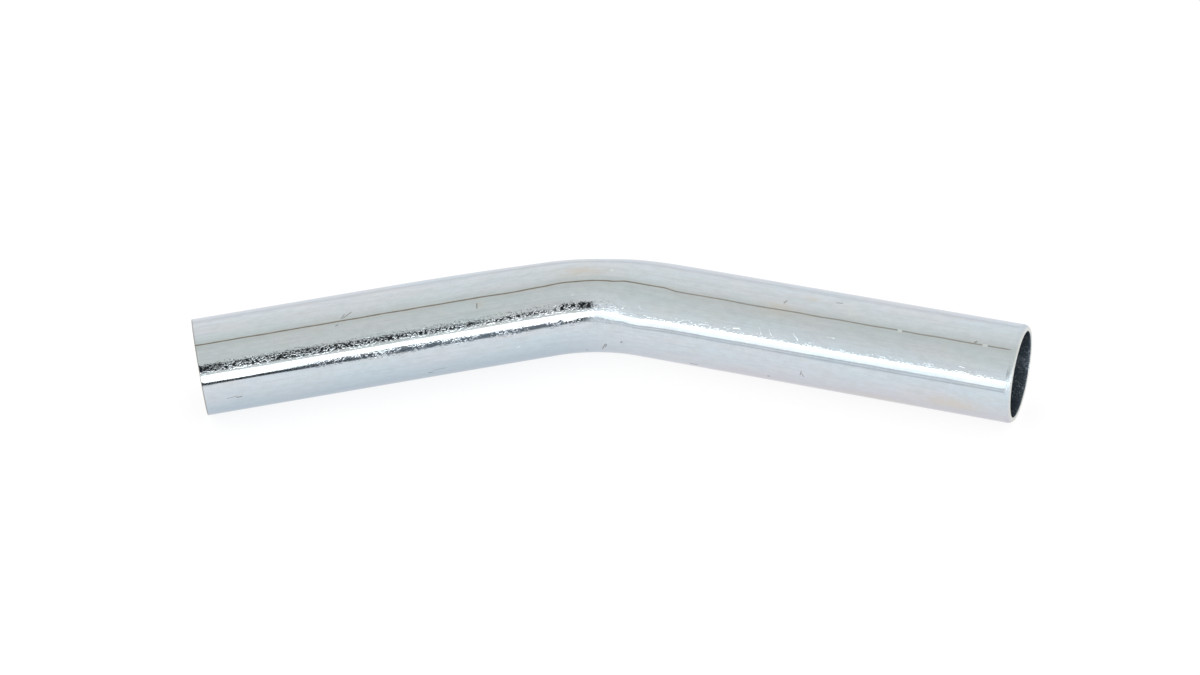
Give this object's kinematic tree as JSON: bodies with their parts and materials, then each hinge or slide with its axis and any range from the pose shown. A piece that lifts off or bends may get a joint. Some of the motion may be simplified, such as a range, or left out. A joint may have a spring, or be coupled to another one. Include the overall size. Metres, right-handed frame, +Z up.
{
  "type": "flue elbow",
  "caption": "Plain zinc-plated steel tube with one gentle cold bend, square cut and open at both ends, that turns a small flue duct.",
  "frame": {"origin": "under the middle of the tube's box, on the surface that it lies on", "axes": "+X along the long leg and out of its mouth, +Y towards the outside of the bend, +Z up and square to the plane of the bend"},
  "size_m": [0.2114, 0.0764, 0.0257],
  "materials": {
    "zinc_plate": "bright zinc plate over drawn steel, with faint lengthwise draw lines"
  },
  "bodies": {
    "root": {"bent_tube": "zinc_plate"}
  },
  "joints": []
}
